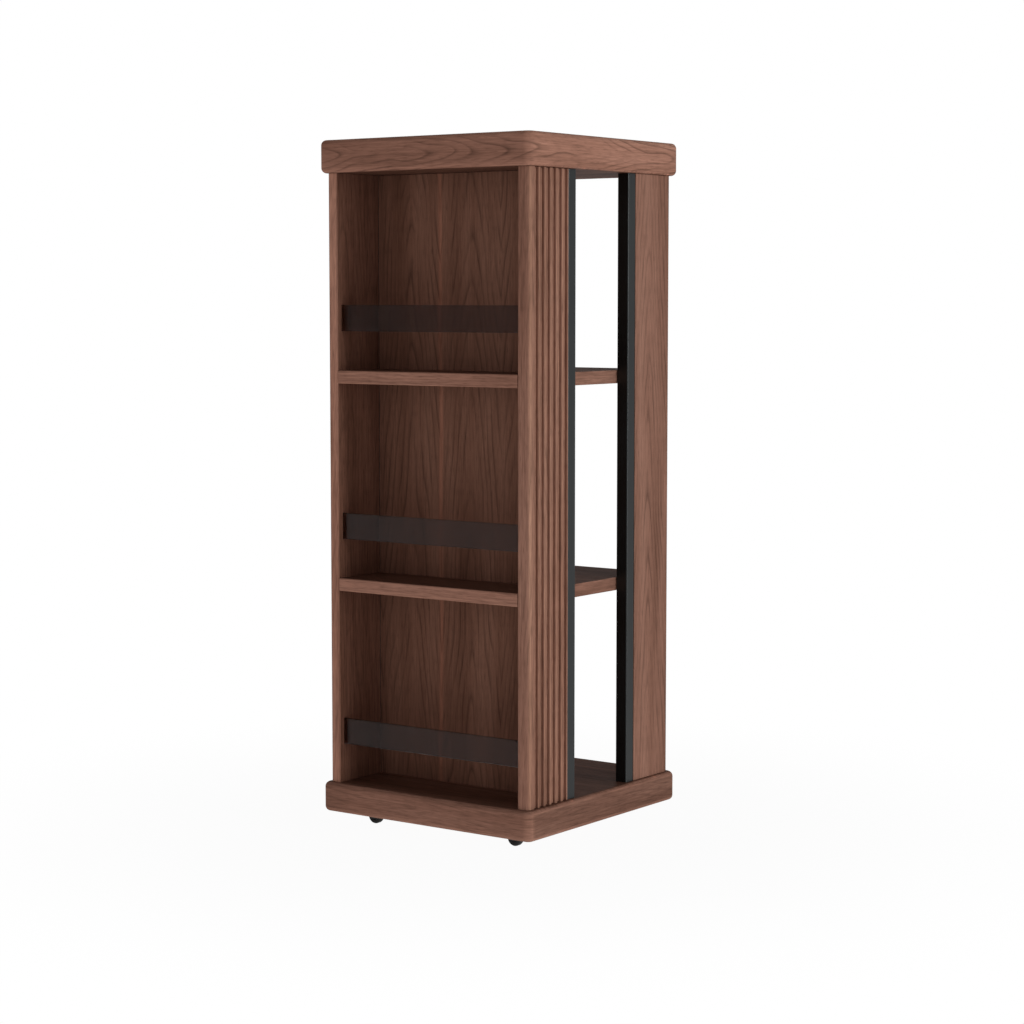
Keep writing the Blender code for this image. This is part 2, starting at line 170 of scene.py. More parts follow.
bpy.ops.object.select_all(action="DESELECT")
turn = KEY_TOWARDS.to_track_quat("Z", "Y").to_euler()
bpy.ops.object.light_add(type="SUN", location=KEY_TOWARDS * KEY_DISTANCE, rotation=turn)
key_lamp = bpy.context.object
key_lamp.name = "key_lamp"
key_lamp.data.energy = KEY_LEVEL
key_lamp.data.color = KEY_COLOUR
key_lamp.data.angle = KEY_WIDTH
print(f"key lamp: level {KEY_LEVEL}")

# %% Lay the floor
FLOOR_SIZE = 14.0
FLOOR_COLOUR = (0.70, 0.70, 0.70, 1)
FLOOR_ROUGHNESS = 0.9
FLOOR_GLOW = 0.96
FLOOR_BOUNCE = 0.90
SHADOW_NEAR = 0.25
SHADOW_FAR = 1.1

bpy.ops.object.select_all(action="DESELECT")
bpy.ops.mesh.primitive_plane_add(size=FLOOR_SIZE)
floor = bpy.context.object
floor.name = "studio_floor"
pale, shader = start_finish("pale_floor", Base_Color=FLOOR_COLOUR, Roughness=FLOOR_ROUGHNESS)
tree = pale.node_tree
place = add_node(tree, "ShaderNodeTexCoord").outputs["Object"]
distance = add_node(tree, "ShaderNodeVectorMath", {0: place}, operation="LENGTH").outputs["Value"]
glow_share = eased(tree, distance, SHADOW_NEAR, SHADOW_FAR, FLOOR_GLOW, 1.0)
path = add_node(tree, "ShaderNodeLightPath")
mirrored = arithmetic(tree, "MULTIPLY", path.outputs["Is Glossy Ray"], MIRRORED)
bounced = arithmetic(tree, "MULTIPLY", path.outputs["Is Diffuse Ray"], FLOOR_BOUNCE)
seen = arithmetic(tree, "MAXIMUM", path.outputs["Is Camera Ray"], path.outputs["Is Transmission Ray"])
thrown = arithmetic(tree, "MAXIMUM", mirrored, bounced)
share = arithmetic(tree, "MULTIPLY", arithmetic(tree, "MAXIMUM", seen, thrown), glow_share)
glow = add_node(tree, "ShaderNodeEmission", {"Color": (1, 1, 1, 1), "Strength": 1.0})
mixed = add_node(tree, "ShaderNodeMixShader", {0: share, 1: shader.outputs[0], 2: glow.outputs[0]})
tree.links.new(mixed.outputs[0], tree.nodes["Material Output"].inputs["Surface"])
floor.data.materials.append(pale)
print(f"floor: {FLOOR_SIZE} m square")

# %% [markdown]
# ## Walnut veneer
# The boards are faced with leaves of sliced walnut under a thin lacquer. A leaf that is cut flat through
# the trunk shows nested arches on either side of its heart, over fine straight fibres and short dark
# flecks. A wave texture would give even stripes. Here the distance from the heart of a leaf counts the
# growth rings, a slope along the grain draws them out into arches, and a soft noise pushes them about. Each
# leaf mirrors its neighbour, as matched leaves from one log do, with a pale line of sapwood where they
# meet. All of it is drawn on a UV map in metres, with U along the grain, so each board can have its grain
# run its own way. The three cuts differ in how steep the arches are, how strongly their lines show and how
# streaky the wood is.

# %% Define the texture helpers
NOISE_ROUGHNESS = 0.55
NOISE_LOW, NOISE_HIGH = 0.3, 0.7
HALFWAY = 0.5


def drawn_out(tree, place, swells):
    """Soft noise stretched along the grain: its swells per metre along and across, and its fine detail."""
    along, across, detail = swells
    sized = add_node(tree, "ShaderNodeMapping", {"Vector": place, "Scale": (along, across, 1)})
    noise = {"Vector": sized.outputs[0], "Scale": 1.0, "Detail": detail, "Roughness": NOISE_ROUGHNESS}
    return add_node(tree, "ShaderNodeTexNoise", noise).outputs[0]


def shaded_steps(tree, value, steps):
    """A colour ramp through (position, colour) steps."""
    ramp = add_node(tree, "ShaderNodeValToRGB", {0: value})
    points = ramp.color_ramp.elements
    while len(points) < len(steps):
        points.new(HALFWAY)
    for point, (position, colour) in zip(points, steps):
        point.position = position
        point.color = colour
    return ramp.outputs[0]


def grey(level):
    """A colour without hue."""
    return (level, level, level, 1)


def darkened(tree, colour, by, share):
    """A colour multiplied by another, as a stain would, in part."""
    inputs = {0: share, 6: colour, 7: by}
    return add_node(tree, "ShaderNodeMix", inputs, data_type="RGBA", blend_type="MULTIPLY").outputs[2]


def vary_gloss(tree, shader, noise, first, last):
    """Let a noise take the shader's roughness from one level to another."""
    limits = {"Value": noise, "From Min": NOISE_LOW, "From Max": NOISE_HIGH, "To Min": first, "To Max": last}
    tree.links.new(add_node(tree, "ShaderNodeMapRange", limits).outputs[0], shader.inputs["Roughness"])


def raise_relief(tree, shader, height, strength, depth):
    """Let a noise raise the surface a little."""
    bump = add_node(tree, "ShaderNodeBump", {"Strength": strength, "Distance": depth, "Height": height})
    tree.links.new(bump.outputs[0], shader.inputs["Normal"])


print("helpers: drawn_out, shaded_steps, grey, darkened, vary_gloss, raise_relief")

# %% Define the growth rings
LEAF_WIDTH = 0.115
HEART = 0.006
WANDER = 0.016
SWAY_SWELLS = (2.2, 2.0, 1.0)
RING_PUSH = 5.0
RING_STOPS = (0.0, 0.12, 0.34, 0.86, 1.0)


def place_in_leaf(tree, place):
    """How far a point lies from the seam of its leaf. The leaves sway a little along the board."""
    across = add_node(tree, "ShaderNodeSeparateXYZ", {0: place}).outputs[1]
    sway = arithmetic(tree, "SUBTRACT", drawn_out(tree, place, SWAY_SWELLS), HALFWAY)
    aside = arithmetic(tree, "MULTIPLY_ADD", sway, WANDER, across)
    return arithmetic(tree, "PINGPONG", aside, LEAF_WIDTH)


def late_wood(tree, place, in_leaf, rings_across, rings_along, swells, depth):
    """The dark line that ends each ring, for so many rings per metre out from the heart and along."""
    along = add_node(tree, "ShaderNodeSeparateXYZ", {0: place}).outputs[0]
    from_heart = arithmetic(tree, "SUBTRACT", in_leaf, LEAF_WIDTH / 2)
    rounded = arithmetic(tree, "MULTIPLY_ADD", from_heart, from_heart, HEART ** 2)
    rings = arithmetic(tree, "MULTIPLY", arithmetic(tree, "SQRT", rounded), rings_across)
    rings = arithmetic(tree, "MULTIPLY_ADD", along, rings_along, rings)
    rings = arithmetic(tree, "MULTIPLY_ADD", drawn_out(tree, place, swells), RING_PUSH, rings)
    clear, half, deep = grey(1), grey(1 - depth / 2), grey(1 - depth)
    line = list(zip(RING_STOPS, (deep, half, clear, clear, deep)))
    return shaded_steps(tree, arithmetic(tree, "FRACT", rings), line)


print("helpers: place_in_leaf, late_wood")

# %% Make the walnut
WALNUT_DARK = (0.205, 0.093, 0.062, 1)
WALNUT_MIDDLE = (0.325, 0.157, 0.110, 1)
WALNUT_LIGHT = (0.430, 0.222, 0.160, 1)
WALNUT_STEPS = [(0.25, WALNUT_DARK), (0.5, WALNUT_MIDDLE), (0.75, WALNUT_LIGHT)]
SAPWOOD = (1.45, 1.32, 1.28, 1)
SAPWOOD_WIDTH = 0.006
TONE_SWELLS = (1.3, 17, 4.0)
SHOWING_SWELLS = (5, 45, 1.0)
FIBRE_SWELLS = (11, 420, 4.0)
FLECK_SWELLS = (38, 330, 2.0)
PORE_SWELLS = (60, 2300, 0.0)
FIBRE_STEPS = [(0.32, grey(0.60)), (0.62, grey(1.10))]
FLECK_STEPS = [(0.30, grey(0.66)), (0.52, grey(1.0)), (0.72, grey(1.12))]
PORE_STEPS = [(0.26, grey(0.4)), (0.36, grey(1))]
LINES_SHOWING = (0.34, 0.64, 0.1, 0.85)
PORE_SHARE = 0.5
LACQUER_SHINE = 0.02
LACQUER_GLOSS = (0.58, 0.46)
GRAIN_RELIEF = 0.12
GRAIN_DEPTH = 0.0004


def walnut_veneer(name, rings_across, rings_along, swells, line_depth, streaks):
    """Sliced walnut: its rings, how deep their lines are and how much of the streaks shows."""
    veneer, shader = start_finish(name, Specular_IOR_Level=LACQUER_SHINE)
    tree = veneer.node_tree
    place = add_node(tree, "ShaderNodeUVMap", uv_map="grain").outputs[0]
    in_leaf = place_in_leaf(tree, place)
    lines = late_wood(tree, place, in_leaf, rings_across, rings_along, swells, line_depth)
    showing = eased(tree, drawn_out(tree, place, SHOWING_SWELLS), *LINES_SHOWING)
    fibre = drawn_out(tree, place, FIBRE_SWELLS)
    pores = shaded_steps(tree, drawn_out(tree, place, PORE_SWELLS), PORE_STEPS)
    fleck = shaded_steps(tree, drawn_out(tree, place, FLECK_SWELLS), FLECK_STEPS)
    colour = shaded_steps(tree, drawn_out(tree, place, TONE_SWELLS), WALNUT_STEPS)
    colour = darkened(tree, colour, lines, showing)
    colour = darkened(tree, colour, shaded_steps(tree, fibre, FIBRE_STEPS), streaks)
    colour = darkened(tree, colour, fleck, streaks)
    colour = darkened(tree, colour, pores, PORE_SHARE)
    colour = darkened(tree, colour, SAPWOOD, eased(tree, in_leaf, 0.0, SAPWOOD_WIDTH, 1.0, 0.0))
    # Each face's tone multiplies the wood's colour: painted shade inside the case and on the base's sides,
    # and a painted highlight on the panel noses.
    tone_factor = add_node(tree, "ShaderNodeAttribute", attribute_name="tone").outputs["Color"]
    tree.links.new(darkened(tree, colour, tone_factor, 1.0), shader.inputs["Base Color"])
    vary_gloss(tree, shader, fibre, *LACQUER_GLOSS)
    raise_relief(tree, shader, arithmetic(tree, "ADD", fibre, pores), GRAIN_RELIEF, GRAIN_DEPTH)
    return veneer


crown_walnut = walnut_veneer(
    "crown_cut_walnut", rings_across=120.0, rings_along=16.0, swells=(5.0, 12.0, 2.0), line_depth=0.54,
    streaks=0.50)
flat_walnut = walnut_veneer(
    "flat_cut_walnut", rings_across=95.0, rings_along=11.0, swells=(2.5, 11.0, 2.0), line_depth=0.50,
    streaks=0.40)
straight_walnut = walnut_veneer(
    "straight_walnut", rings_across=95.0, rings_along=8.0, swells=(3.0, 16.0, 2.0), line_depth=0.26,
    streaks=0.60)
print(f"walnut: {len(crown_walnut.node_tree.nodes)} nodes each in three cuts")

# %% [markdown]
# ## Metals and plastics
# The posts and forks are steel with a satin black powder coat, which is very slightly pebbled. The king
# pins and screws are zinc plated, the wheel cores are moulded nylon and the tyres are soft rubber. A single
# colour with one gloss would be enough for a plan, but a perfectly even black looks like a hole in the
# picture. So each gets a fine unevenness from a noise in the piece's own coordinates, fed to colour,
# roughness and bump.

# %% Make the coated, plated and moulded finishes
SHADE_SPREAD = 0.14
GLOSS_SPREAD = 0.05
PEBBLE_DETAIL = 2.0
CLOUD = {"Scale": 14.0, "Detail": 3.0}
STEEP = 0.25


def uneven_finish(name, colour, rough, grain, relief, **values):
    """A plain finish whose colour, gloss and surface vary a little: grain is the size of the pebbles."""
    material, shader = start_finish(name, **values)
    tree = material.node_tree
    place = add_node(tree, "ShaderNodeTexCoord").outputs["Object"]
    fine = {"Vector": place, "Scale": 1 / grain, "Detail": PEBBLE_DETAIL}
    pebble = add_node(tree, "ShaderNodeTexNoise", fine).outputs[0]
    cloud = add_node(tree, "ShaderNodeTexNoise", {"Vector": place, **CLOUD}).outputs[0]
    dark = tuple((1 - SHADE_SPREAD) * part for part in colour) + (1,)
    bright = tuple((1 + SHADE_SPREAD) * part for part in colour) + (1,)
    shades = shaded_steps(tree, cloud, [(NOISE_LOW, dark), (NOISE_HIGH, bright)])
    tree.links.new(shades, shader.inputs["Base Color"])
    vary_gloss(tree, shader, cloud, rough - GLOSS_SPREAD, rough + GLOSS_SPREAD)
    raise_relief(tree, shader, pebble, relief, grain * STEEP)
    return material


POST_COLOUR = (0.0085, 0.0105, 0.0108)
CASTER_COLOUR = (0.018, 0.018, 0.019)
ZINC_COLOUR = (0.62, 0.63, 0.64)
NYLON_COLOUR = (0.020, 0.020, 0.021)
RUBBER_COLOUR = (0.013, 0.013, 0.013)

post_black = uneven_finish("satin_black_posts", POST_COLOUR, rough=0.40, grain=0.0012, relief=0.08)
caster_black = uneven_finish("black_caster_steel", CASTER_COLOUR, rough=0.42, grain=0.0010, relief=0.10)
zinc = uneven_finish("zinc_plate", ZINC_COLOUR, rough=0.34, grain=0.0007, relief=0.10, Metallic=1.0)
nylon = uneven_finish("black_nylon", NYLON_COLOUR, rough=0.48, grain=0.0006, relief=0.12)
rubber = uneven_finish("black_rubber", RUBBER_COLOUR, rough=0.70, grain=0.0005, relief=0.20)
print("finishes:", ", ".join(item.name for item in (post_black, caster_black, zinc, nylon, rubber)))

# %% [markdown]
# ## Smoked acrylic
# The guard strips are thin bars of grey-brown acrylic. Clear plastic is a shader that lets light through
# and bends it. The tint goes on the base colour, so light loses a share of it where it enters and where it
# leaves. A thick volume that swallows light would also do, but it is slow and grainy. The tone that each
# face stores makes the sawn edges darker, because there one looks a long way through the sheet. A faint
# cloud in the gloss stands for the marks of handling.

# %% Make the acrylic
SMOKE = (0.39, 0.335, 0.325, 1)
CLEAR = {"Transmission_Weight": 1.0, "IOR": 1.49, "Specular_Tint": grey(0.35)}
HANDLING = {"Scale": 30.0, "Detail": 4.0}
POLISH = (0.076, 0.10)

acrylic, shader = start_finish("smoked_acrylic", **CLEAR)
tree = acrylic.node_tree
depth = add_node(tree, "ShaderNodeAttribute", attribute_name="tone").outputs["Color"]
tree.links.new(darkened(tree, SMOKE, depth, 1.0), shader.inputs["Base Color"])
place = add_node(tree, "ShaderNodeTexCoord").outputs["Object"]
marks = add_node(tree, "ShaderNodeTexNoise", {"Vector": place, **HANDLING}).outputs[0]
vary_gloss(tree, shader, marks, *POLISH)
print(f"acrylic: {len(tree.nodes)} nodes")

# %% [markdown]
# ## Modelling helpers
# Every board starts as a cube at the size of the frame's piece, with its place applied to its mesh. In
# edit mode one then selects edges and bevels them. By hand that is a few clicks on the right edges, and
# in code it is a test on where an edge lies. `pick` opens a piece and selects what passes a test, and
# `round_edges` bevels it. A rounding is written as a pair, its radius and its number of steps.

# %% Define the modelling helpers
TINY = 0.00005


def take(piece):
    """Select this piece alone and make it the active one."""
    bpy.ops.object.select_all(action="DESELECT")
    piece.select_set(True)
    bpy.context.view_layer.objects.active = piece


def settle(piece, name):
    """Name a new piece and make its place, turn and scale part of its mesh."""
    piece.name = name
    piece.data.name = name
    bpy.ops.object.transform_apply(location=True, rotation=True, scale=True)
    return piece


def block(name, low, high):
    """A cube from one corner to the other, with its place in its mesh."""
    low, high = Vector(low), Vector(high)
    bpy.ops.object.select_all(action="DESELECT")
    bpy.ops.mesh.primitive_cube_add(size=1, location=(low + high) / 2, scale=high - low)
    return settle(bpy.context.object, name)


def pick(piece, kind, wanted):
    """Open a piece in edit mode with the corners, edges or faces that pass a test selected."""
    take(piece)
    bpy.ops.object.mode_set(mode="EDIT")
    bpy.ops.mesh.select_mode(type=kind)
    bpy.ops.mesh.select_all(action="DESELECT")
    mesh = bmesh.from_edit_mesh(piece.data)
    parts = {"VERT": mesh.verts, "EDGE": mesh.edges, "FACE": mesh.faces}[kind]
    for part in parts:
        if wanted(part):
            part.select_set(True)
    bmesh.update_edit_mesh(piece.data)


def everything(part):
    """A test that all parts pass."""
    return True


def close_edit():
    """Go back to object mode."""
    bpy.ops.object.mode_set(mode="OBJECT")


def round_edges(piece, rounding, wanted):
    """Bevel the edges that pass a test."""
    radius, steps = rounding
    pick(piece, "EDGE", wanted)
    bpy.ops.mesh.bevel(offset=radius, segments=steps, affect="EDGES")
    close_edit()


def upright(edge):
    """True for an edge that stands upright."""
    first, second = (corner.co for corner in edge.verts)
    return (first - second).xy.length < TINY


def level_at(*heights):
    """A test for edges that lie level at one of these heights."""
    def level(edge):
        return any(all(abs(corner.co.z - height) < TINY for corner in edge.verts) for height in heights)
    return level


print("helpers: take, settle, block, pick, everything, close_edit, round_edges, upright, level_at")

# %% [markdown]
# ## Laying the grain
# Veneer is cut in leaves and glued on with a direction in mind: upright on panels and the divider, along
# the length on slabs and shelves, and running round the rim of a slab as edge banding. Unwrapping by hand
# would mean marking seams on each board. Since every face is flat or part of a rounding, two directions
# per face are enough, one along the grain and one across. A direction such as (1, 1, 0) follows a rounded
# corner from one face to the next without a break. Each board also starts at its own place in the pattern,
# so no two show the same figure. Then comes a tone for each face, which carries painted light: painted
# shade makes the faces inside the case darker and what lies flat there darkest, and a painted highlight
# makes the nose of a panel lightest. Each face stores its tone as a colour for the veneer to read, which
# takes fewer materials than one for each tone.

# %% Choose the tones, with painted shade and a painted highlight
FACE = Vector((0.965, 0.965, 0.965))
TOP_FACE = FACE * 1.20
BASE_FACE = FACE * 0.92
# Painted shade: the two sides of the base darker than its front.
SHADED_BASE_SIDE = FACE * 0.60
REAR_FACE = FACE * 0.83
# Painted highlight along the rounded nose of each front panel, on the faces that look the way of NOSE_WAY.
NOSE_HIGHLIGHT = Vector((1.30, 1.36, 1.29))
EDGE = Vector((1.16, 1.16, 1.16))
# Painted shade on the faces inside the case, and deeper painted shade on what lies flat inside it.
INSIDE_SHADE = Vector((0.63, 0.60, 0.57))
INSIDE_FLOOR_SHADE = INSIDE_SHADE * 0.85
UP, DOWN = Vector((0, 0, 1)), Vector((0, 0, -1))
LEFTWARD, RIGHTWARD = Vector((-1, 0, 0)), Vector((1, 0, 0))
FORWARD = Vector((0, -1, 0))
NOSE_WAY = Vector((0.92, -0.39, 0))
EASE = 0.1


def tone_of(normal, shown, others):
    """The tone of a face: the shown one, or that of the way it looks, eased over the end of a rounding."""
    tone = shown
    for way, level in others:
        share = min(max((normal.dot(way) - 1 + EASE) / EASE, 0.0), 1.0)
        tone = tone.lerp(level, share)
    return tone


print(f"stain: {FACE.x:.2f} outside, {INSIDE_SHADE.x:.2f} inside")

# %% Define the grain
LEAF_STEP = 1.37
LEVEL_FACE = 0.72
UPRIGHT_GRAIN = {"side": ((0, 0, 1), (1, 1, 0)), "level": ((1, 0, 0), (0, 1, 0))}
LEVEL_GRAIN = {"side": ((1, 1, 0), (0, 0, 1)), "level": ((1, 0, 0), (0, 1, 0))}


def lay_grain(piece, directions, shown, *others, leaf, heart=0.0, tone_factor=1.0):
    """A UV map in metres with U along the grain, and a tone for each face, for one leaf of veneer."""
    mesh = piece.data
    tone = mesh.attributes.new("tone", "FLOAT_COLOR", "CORNER")
    while mesh.uv_layers:
        mesh.uv_layers.remove(mesh.uv_layers[0])
    grain = mesh.uv_layers.new(name="grain")
    places = list(zip(*(point.co for point in mesh.vertices)))
    middle = Vector([(min(place) + max(place)) / 2 for place in places])
    start = Vector((LEAF_STEP * leaf, LEAF_WIDTH / 2 + heart))
    for face in mesh.polygons:
        along, across = directions["level" if abs(face.normal.z) > LEVEL_FACE else "side"]
        level = (*tone_of(face.normal, shown, others) * tone_factor, 1)
        for corner in face.loop_indices:
            tone.data[corner].color = level
            point = mesh.vertices[mesh.loops[corner].vertex_index].co - middle
            grain.data[corner].uv = start + Vector((point.dot(along), point.dot(across)))


print("helper: lay_grain")

# %% Define the last step of every piece
SMOOTH_BELOW = radians(40)


def fit(piece, material, slot, *nodes, body="case"):
    """Shade a finished piece, give it its material and let it stand for its CAD nodes."""
    take(piece)
    bpy.ops.object.shade_smooth_by_angle(angle=SMOOTH_BELOW)
    bpy.ops.object.modifier_add(type="WEIGHTED_NORMAL")
    piece.modifiers[-1].keep_sharp = True
    bpy.ops.object.modifier_apply(modifier=piece.modifiers[-1].name)
    piece.data.materials.clear()
    piece.data.materials.append(material)
    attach(piece, body)
    if nodes:
        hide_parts(*nodes)
    print(f"{piece.name}: {len(piece.data.polygons)} faces on {body}")


print("helper: fit")

# %% [markdown]
# ## Top slab
# The top is a thick board with generous corners and softly rounded rims, made by gluing veneer over a core
# and routing the edges. A subdivision surface could round it, but it would shrink the flat faces. Two
# bevels keep the size: first the four upright corners, then the rims above and below.

# %% Model the top slab
SLAB_CORNER = (0.015, 12)
SLAB_RIM = (0.008, 8)

low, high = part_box("top_slab")
top = block("walnut_top", low, high)
round_edges(top, SLAB_CORNER, upright)
round_edges(top, SLAB_RIM, level_at(low[2], high[2]))
# Painted shade darkens the slab's underside.
lay_grain(top, LEVEL_GRAIN, TOP_FACE, (DOWN, INSIDE_SHADE), leaf=1)
fit(top, crown_walnut, "walnut", "top_slab")

# %% [markdown]
# ## Base slab
# The base is the same board with a shallow recess underneath, where the caster plates are screwed. The
# recess could be cut with a Boolean, but insetting the lower face and pushing it up gives the same shape
# with clean edges. It is done while the slab is still a plain block, because an inset of a rounded face
# folds over itself at the corners.

# %% Model the base slab
SKIRT = 0.020
RECESS = 0.010
RECESS_CORNER = (0.006, 6)

low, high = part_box("base_slab")
base = block("walnut_base", low, high)
pick(base, "FACE", lambda face: face.normal.dot(DOWN) > 1 - TINY)
bpy.ops.mesh.inset(thickness=SKIRT)
bpy.ops.mesh.extrude_region_move(TRANSFORM_OT_translate={"value": (0, 0, RECESS)})
close_edit()
skirt_middle = high[0] - SKIRT / 2


def outside(edge):
    """True for edges of the slab's outside, and not of the recess."""
    return all(max(abs(corner.co.x), abs(corner.co.y)) > skirt_middle for corner in edge.verts)


round_edges(base, RECESS_CORNER, lambda edge: upright(edge) and not outside(edge))
round_edges(base, SLAB_CORNER, lambda edge: upright(edge) and outside(edge))
rims = level_at(low[2], high[2])
round_edges(base, SLAB_RIM, lambda edge: rims(edge) and outside(edge))
# Painted shade darkens the base's top face and its two sides.
sides = ((LEFTWARD, SHADED_BASE_SIDE), (RIGHTWARD, SHADED_BASE_SIDE))
lay_grain(base, LEVEL_GRAIN, BASE_FACE, (UP, INSIDE_FLOOR_SHADE), *sides, leaf=2, heart=0.032)
fit(base, straight_walnut, "walnut", "base_slab")

# %% [markdown]
# ## Reeded side panels
# The front side panels have a rounded nose and a row of slim upright reeds on the outside. A router cuts
# such reeds along the whole board. The plan of the panel holds the entire shape, so it is drawn first: a
# flat core, cut across at each reed's edges, with the reeds pulled out sideways, and every corner rounded.
# Lifting that plan to the panel's height makes the board. Cutting grooves into a block with a Boolean would
# work too, but the corners are easier to round while they are points of a flat plan.

# %% Define the tools for a flat plan
FLAT_BELOW = radians(1)


def corners_at(*tests):
    """A test for corners whose x, or x and y, have these values."""
    def wanted(corner):
        return all(abs(found - value) < TINY for found, value in zip(corner.co, tests))
    return wanted


def round_corners(piece, rounding, wanted):
    """Bevel the corners of a flat plan that pass a test."""
    radius, steps = rounding
    pick(piece, "VERT", wanted)
    bpy.ops.mesh.bevel(offset=radius, segments=steps, affect="VERTICES")
    close_edit()


def cut_across(piece, place, way):
    """Divide the faces of a plan where a plane at this place goes through them."""
    pick(piece, "FACE", everything)
    bpy.ops.mesh.bisect(plane_co=place, plane_no=way)
    close_edit()


def merge_flat_faces(piece):
    """Join the faces of a plan, which all lie in one plane."""
    pick(piece, "FACE", everything)
    bpy.ops.mesh.dissolve_limited(angle_limit=FLAT_BELOW)
    close_edit()


print("helpers: corners_at, round_corners, cut_across, merge_flat_faces")

# %% Set out the reeds
FRONT_LAND = 0.016
HEEL_LAND = 0.002
REED_PITCH = 0.01475
REED_WIDTH = 0.0065
REED_HEIGHT = 0.005
NOSE_ROUND = (0.008, 12)
INNER_ROUND = (0.002, 5)
REED_ROUND = (0.0025, 6)
GROOVE_ROUND = (0.0012, 4)
HEEL_ROUND = (HEEL_LAND / 2, 3)


def reed_places(front, heel):
    """Where each reed starts and ends, from the plain land behind the nose to the one at the heel."""
    reeds = [(front, front + FRONT_LAND)]
    while reeds[-1][1] + REED_PITCH < heel - HEEL_LAND:
        back = reeds[-1][1] + REED_PITCH
        reeds.append((back - REED_WIDTH, back))
    return reeds + [(heel - HEEL_LAND, heel)]


print(f"reeds: one every {REED_PITCH * 1000} mm")

# %% Draw and lift the reeded panel
def reeded_panel(name, low, high):
    """A panel that is drawn as a flat plan, with reeds and rounded corners, and lifted to its height."""
    inner, outer = low[0], high[0]
    front, heel = low[1], high[1]
    groove = outer - REED_HEIGHT
    bpy.ops.object.select_all(action="DESELECT")
    middle = ((inner + groove) / 2, (front + heel) / 2, low[2])
    bpy.ops.mesh.primitive_plane_add(size=1, location=middle)
    panel = bpy.context.object
    panel.scale = (groove - inner, heel - front, 1)
    settle(panel, name)
    reeds = reed_places(front, heel)
    for edge in [side for reed in reeds for side in reed if front < side < heel]:
        cut_across(panel, (0, edge, 0), (0, 1, 0))

    def on_a_reed(edge):
        at = (edge.verts[0].co + edge.verts[1].co) / 2
        return abs(at.x - groove) < TINY and any(low_y < at.y < high_y for low_y, high_y in reeds)

    pick(panel, "EDGE", on_a_reed)
    bpy.ops.mesh.extrude_region_move(TRANSFORM_OT_translate={"value": (REED_HEIGHT, 0, 0)})
    close_edit()
    merge_flat_faces(panel)
    in_groove, on_outside = corners_at(groove), corners_at(outer)
    first, last = front + TINY, heel - HEEL_LAND - TINY
    round_corners(panel, GROOVE_ROUND, lambda corner: in_groove(corner) and corner.co.y < heel - TINY)
    round_corners(panel, REED_ROUND, lambda corner: on_outside(corner) and first < corner.co.y < last)
    round_corners(panel, HEEL_ROUND, corners_at(outer, heel - HEEL_LAND))
    round_corners(panel, NOSE_ROUND, corners_at(outer, front))
    round_corners(panel, INNER_ROUND, corners_at(inner, front))
    pick(panel, "FACE", everything)
    bpy.ops.mesh.extrude_region_move(TRANSFORM_OT_translate={"value": (0, 0, high[2] - low[2])})
    bpy.ops.mesh.select_all(action="SELECT")
    bpy.ops.mesh.normals_make_consistent(inside=False)
    close_edit()
    print(f"{name}: {len(reeds) - 2} reeds")
    return panel


right_panel = reeded_panel("reeded_panel_right", *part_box("front_side_panel_right"))

# %% [markdown]
# ## Housings for the guard strips
# Each guard strip is held by its ends, in a shallow slot in the panel on either side. The slots are cut
# with a Boolean, because a small pocket in the middle of a large flat face is just what a Boolean does
# well. The left panel is the mirror image of the right one, so it is a mirrored copy, and then gets its own
# leaf of veneer.

# %% Define how to cut and how to mirror
def cut(piece, cutter):
    """Take one piece out of another and remove it."""
    take(piece)
    bpy.ops.object.modifier_add(type="BOOLEAN")
    piece.modifiers[-1].object = cutter
    piece.modifiers[-1].operation = "DIFFERENCE"
    bpy.ops.object.modifier_apply(modifier=piece.modifiers[-1].name)
    bpy.data.objects.remove(cutter)


def mirrored_copy(piece, name):
    """A copy on the other side of the case, with its own mesh and its faces pointing out."""
    take(piece)
    bpy.ops.object.duplicate()
    copy = bpy.context.object
    copy.scale.x = -1
    settle(copy, name)
    pick(copy, "FACE", everything)
    bpy.ops.mesh.normals_make_consistent(inside=False)
    close_edit()
    return copy


print("helpers: cut, mirrored_copy")

# %% Cut the housings and mirror the panel
HOUSING_GAP = 0.0003
STRIPS = ("guard_strip_1", "guard_strip_2", "guard_strip_3")
RIGHT_STAIN = 0.88
LEFT_STAIN = 1.28

for strip in STRIPS:
    low, high = (Vector(corner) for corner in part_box(strip))
    gap = Vector((HOUSING_GAP, HOUSING_GAP, HOUSING_GAP))
    cut(right_panel, block("housing_cutter", low - gap, high + gap))
left_panel = mirrored_copy(right_panel, "reeded_panel_left")
# Painted highlight on the nose and painted shade on the inner face of each front panel.
right_tones = ((FORWARD, EDGE), (NOSE_WAY, NOSE_HIGHLIGHT), (LEFTWARD, INSIDE_SHADE))
left_tones = ((FORWARD, EDGE), (NOSE_WAY * Vector((-1, 1, 1)), NOSE_HIGHLIGHT), (RIGHTWARD, INSIDE_SHADE))
lay_grain(right_panel, UPRIGHT_GRAIN, FACE, *right_tones, leaf=3, heart=0.03, tone_factor=RIGHT_STAIN)
lay_grain(left_panel, UPRIGHT_GRAIN, FACE, *left_tones, leaf=24, heart=0.03, tone_factor=LEFT_STAIN)
fit(right_panel, straight_walnut, "walnut", "front_side_panel_right")
fit(left_panel, straight_walnut, "walnut", "front_side_panel_left")

# %% [markdown]
# ## Rear panels, divider and shelves
# The remaining boards are flat, with a rounding only on the edges that show. A bevel modifier would round
# every edge, and a bevel on just those edges keeps the joints with their neighbours square and tight.
# Boards that are alike are cut alike in a workshop, so one is modelled and the others are copies, each with
# its own leaf of veneer.

# %% Define the tools for boards that repeat
def across_at(y):
    """A test for the edges that run across the board at this y."""
    def wanted(edge):
        return not upright(edge) and all(abs(corner.co.y - y) < TINY for corner in edge.verts)
    return wanted


